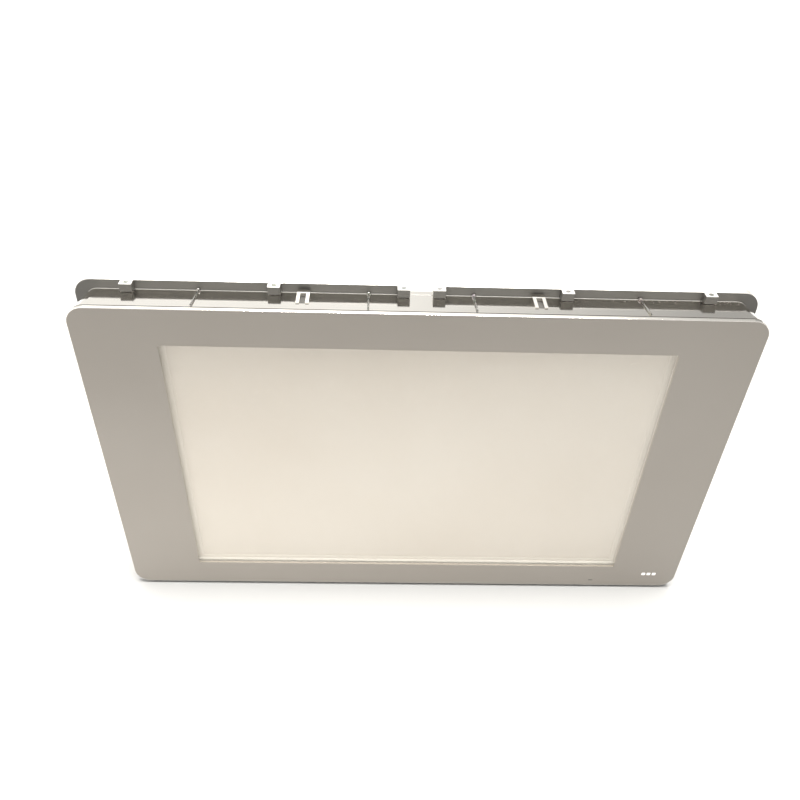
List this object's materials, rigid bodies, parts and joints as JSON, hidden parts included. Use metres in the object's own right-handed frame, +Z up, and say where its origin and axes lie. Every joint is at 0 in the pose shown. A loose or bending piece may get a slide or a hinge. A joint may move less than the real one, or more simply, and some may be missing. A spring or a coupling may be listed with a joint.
{
  "type": "hmi touch panel",
  "caption": "Flat wide-format operator panel: dark framed touch screen on a drafted housing band with a rear mounting flange, clamp blocks and a vented rear cover.",
  "frame": {"origin": "centre of the 100 mm square hole pattern, on the rear mounting face", "axes": "+X to the viewer's right, +Z up, +Y back out of the rear face, so the screen faces -Y"},
  "size_m": [0.446, 0.058, 0.265],
  "materials": {
    "polished_metal": "polished, near mirror",
    "overlay_film": "smooth satin-gloss film, warm dark grey",
    "badge_white": null,
    "sensor_lens": "smoked",
    "seal_rubber": "matt",
    "touch_glass": "clear, smooth",
    "display_face": "milky warm grey, unlit screen",
    "display_steel": "thin rolled sheet",
    "clear_acrylic": "frosted",
    "flange_grey": "fine satin powder coat",
    "block_grey": "satin",
    "rod_steel": "drawn wire",
    "screw_steel": "zinc plated",
    "cover_paint": "fine textured powder coat",
    "chassis_steel": "zinc plated sheet",
    "board_green": "solder mask over glass fibre",
    "chip_black": "moulded resin",
    "pad_grey": "soft pad",
    "sink_aluminium": "clear anodised, ribbed",
    "can_aluminium": "drawn cans",
    "socket_steel": "tinned shells",
    "contact_gold": "gold flashed",
    "header_plastic": "moulded, green",
    "black_plastic": "moulded, fine texture",
    "button_plastic": "moulded, light grey",
    "door_plastic": "moulded, fine texture",
    "insert_brass": "turned",
    "cell_steel": "nickel plated"
  },
  "bodies": {
    "panel": {"front_frame": "polished_metal", "frame_posts": "chassis_steel", "front_overlay": "overlay_film", "front_badge": "badge_white", "light_sensor_lens": "sensor_lens", "front_seal": "seal_rubber", "touch_glass": "touch_glass", "display_gasket": "seal_rubber", "display_bezel": "display_steel", "display_cell": "display_face", "light_guide": "clear_acrylic", "backlight_bar": "board_green", "display_tray": "display_steel", "display_driver_board": "board_green", "display_brackets": "chassis_steel", "bracket_screws": "screw_steel", "housing_band": "polished_metal", "tie_rods": "rod_steel", "mounting_flange": "flange_grey", "clamp_blocks": "block_grey", "clamp_screws": "screw_steel", "frame_screws": "screw_steel", "chassis_plate": "chassis_steel", "chassis_screws": "screw_steel", "board_standoffs": "insert_brass", "board_screws": "screw_steel", "main_board": "board_green", "power_board": "board_green", "processor": "chip_black", "thermal_pad": "pad_grey", "heat_sink": "sink_aluminium", "memory_module": "board_green", "capacitors": "can_aluminium", "power_converter": "chip_black", "buzzer": "chip_black", "display_ribbon": "button_plastic", "ribbon_socket": "button_plastic", "ethernet_ports": "socket_steel", "ethernet_contacts": "contact_gold", "usb_ports": "socket_steel", "serial_port": "socket_steel", "serial_pins": "contact_gold", "serial_jackscrews": "screw_steel", "card_reader": "socket_steel", "power_header": "header_plastic", "power_header_pins": "contact_gold", "earth_stud": "screw_steel", "earth_nuts": "screw_steel", "reset_switch": "black_plastic", "rocker_frame": "black_plastic", "rear_cover": "cover_paint", "cover_screws": "screw_steel", "mounting_inserts": "insert_brass", "door_hinge_pin": "screw_steel", "battery_holder": "black_plastic", "coin_cell": "cell_steel"},
    "door": {"battery_door": "door_plastic"},
    "reset": {"reset_button": "button_plastic"},
    "rocker": {"power_rocker": "black_plastic"}
  },
  "joints": [
    {"name": "door_hinge", "type": "hinge", "parent": "panel", "child": "door", "pos_m": [0.16, -0.0018, -0.044], "axis": [1, 0, 0], "range_deg": [0, 100]},
    {"name": "reset_press", "type": "slide", "parent": "panel", "child": "reset", "axis": [0, 0, 1], "range_m": [0, 0.001], "stiffness_N_per_m": 600, "springref_m": -0.001},
    {"name": "rocker_tilt", "type": "hinge", "parent": "panel", "child": "rocker", "pos_m": [-0.116, -0.0105, -0.119], "axis": [0, 1, 0], "range_deg": [0, 16]}
  ]
}
